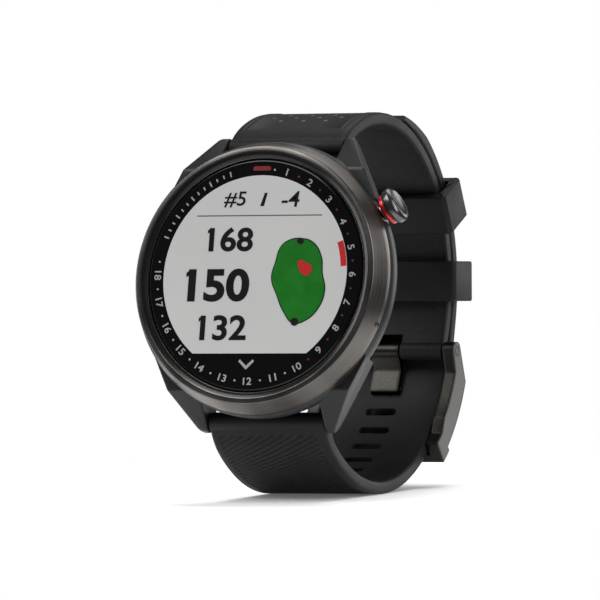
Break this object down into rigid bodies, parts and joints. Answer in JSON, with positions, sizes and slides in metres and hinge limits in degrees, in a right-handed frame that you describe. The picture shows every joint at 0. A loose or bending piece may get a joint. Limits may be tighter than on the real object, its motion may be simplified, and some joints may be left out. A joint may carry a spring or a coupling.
{
  "type": "golf gps watch",
  "caption": "Round golf GPS watch, metal bezel over a polymer case, side button, buckled silicone strap with quick-release bars.",
  "frame": {"origin": "middle of the wrist the strap goes round", "axes": "+X towards 3 o'clock, along the wrist; the dial faces -Y; +Z towards 12 o'clock"},
  "size_m": [0.0445, 0.057, 0.0622],
  "materials": {
    "glass": "polished, blacked out round the edge",
    "gunmetal": "circular brushed, dark coated",
    "case_polymer": "fine matte",
    "silicone": "matte",
    "buckle_metal": "brushed, dark coated",
    "bar_steel": "bright",
    "spring_steel": "bright",
    "button_metal": "dark polished",
    "red_anodised": "anodised",
    "seal_rubber": "soft",
    "adhesive": "soft",
    "film": "clear film",
    "display": "reflective panel",
    "light_guide": "white",
    "flex_film": "amber film",
    "frame_plastic": "moulded",
    "antenna_metal": "plated",
    "board": "solder mask",
    "tin": "tinned",
    "cell": "foil pouch",
    "motor_steel": "satin",
    "switch_plastic": "moulded",
    "cover_plastic": "fine matte",
    "screw_steel": "black oxide",
    "gold": "gold plated",
    "membrane": "fine mesh"
  },
  "bodies": {
    "watch": {"case_body": "case_polymer", "bezel": "gunmetal", "lens": "glass", "lens_gasket": "adhesive", "touch_panel": "film", "display_panel": "display", "backlight": "light_guide", "display_flex": "flex_film", "inner_frame": "frame_plastic", "gps_antenna": "antenna_metal", "main_board": "board", "shield_cans": "tin", "battery": "cell", "battery_flex": "flex_film", "vibration_motor": "motor_steel", "tactile_switch": "switch_plastic", "button_spring": "spring_steel", "button_bushing": "bar_steel", "back_cover": "cover_plastic", "back_cover_gasket": "seal_rubber", "back_cover_screws": "screw_steel", "charge_block": "cover_plastic", "charge_contacts": "gold", "vent_plug": "bar_steel", "vent_membrane": "membrane", "upper_strap": "silicone", "lower_strap": "silicone", "fixed_keeper": "silicone", "upper_bar_tube": "bar_steel", "upper_bar_fixed_tip": "bar_steel", "upper_bar_spring": "spring_steel", "lower_bar_tube": "bar_steel", "lower_bar_fixed_tip": "bar_steel", "lower_bar_spring": "spring_steel"},
    "button": {"button_cap": "button_metal", "button_ring": "red_anodised", "button_seals": "seal_rubber", "button_clip": "spring_steel"},
    "free_keeper_loop": {"free_keeper": "silicone"},
    "upper_release": {"upper_bar_release_pin": "bar_steel"},
    "lower_release": {"lower_bar_release_pin": "bar_steel"},
    "buckle": {"buckle_frame": "buckle_metal", "buckle_bar": "bar_steel"},
    "tongue": {"buckle_tongue": "buckle_metal"}
  },
  "joints": [
    {"name": "button_press", "type": "slide", "parent": "watch", "child": "button", "axis": [-0.866, 0, -0.5], "range_m": [0, 0.0003], "stiffness_N_per_m": 1500, "springref_m": -0.0004, "deforming": ["button_spring"]},
    {"name": "keeper_slide", "type": "hinge", "parent": "watch", "child": "free_keeper_loop", "pos_m": [0, 0, 0.0036], "axis": [1, 0, 0], "range_deg": [-10, 30]},
    {"name": "upper_bar_slide", "type": "slide", "parent": "watch", "child": "upper_release", "axis": [-1, 0, 0], "range_m": [0, 0.0013], "stiffness_N_per_m": 600, "springref_m": -0.0005, "deforming": ["upper_bar_spring"]},
    {"name": "lower_bar_slide", "type": "slide", "parent": "watch", "child": "lower_release", "axis": [-1, 0, 0], "range_m": [0, 0.0013], "stiffness_N_per_m": 600, "springref_m": -0.0005, "deforming": ["lower_bar_spring"]},
    {"name": "buckle_rock", "type": "hinge", "parent": "watch", "child": "buckle", "pos_m": [0, 0.02461, -0.00346], "axis": [1, 0, 0], "range_deg": [-0.5, 1]},
    {"name": "tongue_rock", "type": "hinge", "parent": "watch", "child": "tongue", "pos_m": [0, 0.02461, -0.00346], "axis": [1, 0, 0], "range_deg": [-0.5, 1]}
  ],
  "couplings": [
    {"joint": "tongue_rock", "follows": "buckle_rock", "ratio": 1}
  ]
}
